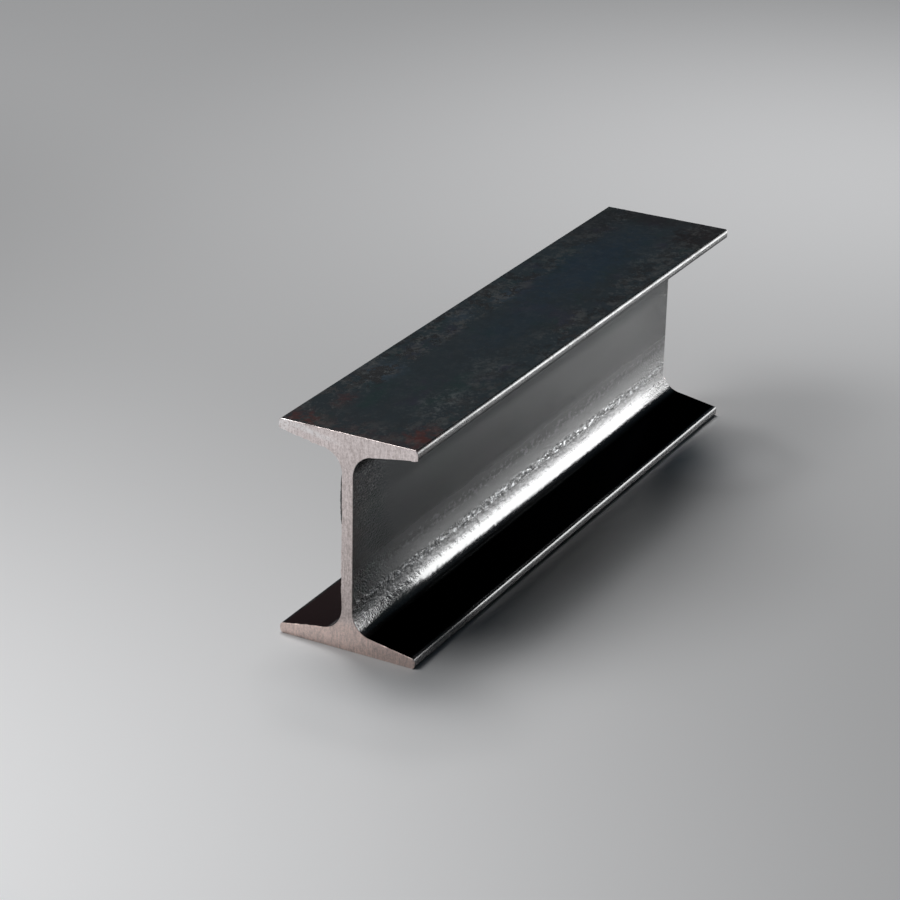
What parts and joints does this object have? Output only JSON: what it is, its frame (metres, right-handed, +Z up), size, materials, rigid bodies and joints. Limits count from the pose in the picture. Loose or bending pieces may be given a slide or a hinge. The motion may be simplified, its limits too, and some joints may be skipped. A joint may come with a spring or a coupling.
{
  "type": "steel i-beam",
  "caption": "Short piece of hot-rolled steel I-beam with tapered flanges, filleted web, rounded toes and square-sawn ends.",
  "frame": {"origin": "middle of the underside of the bottom flange", "axes": "+Y along the beam, +X across the flanges, +Z up from the bottom flange to the top flange"},
  "size_m": [0.067, 0.3174, 0.1016],
  "materials": {
    "hot_rolled_steel": "dark blue-grey mill scale, semi-matt, on the rolled faces; bare grey sawn steel on both ends"
  },
  "bodies": {
    "root": {"i_beam": "hot_rolled_steel"}
  },
  "joints": []
}
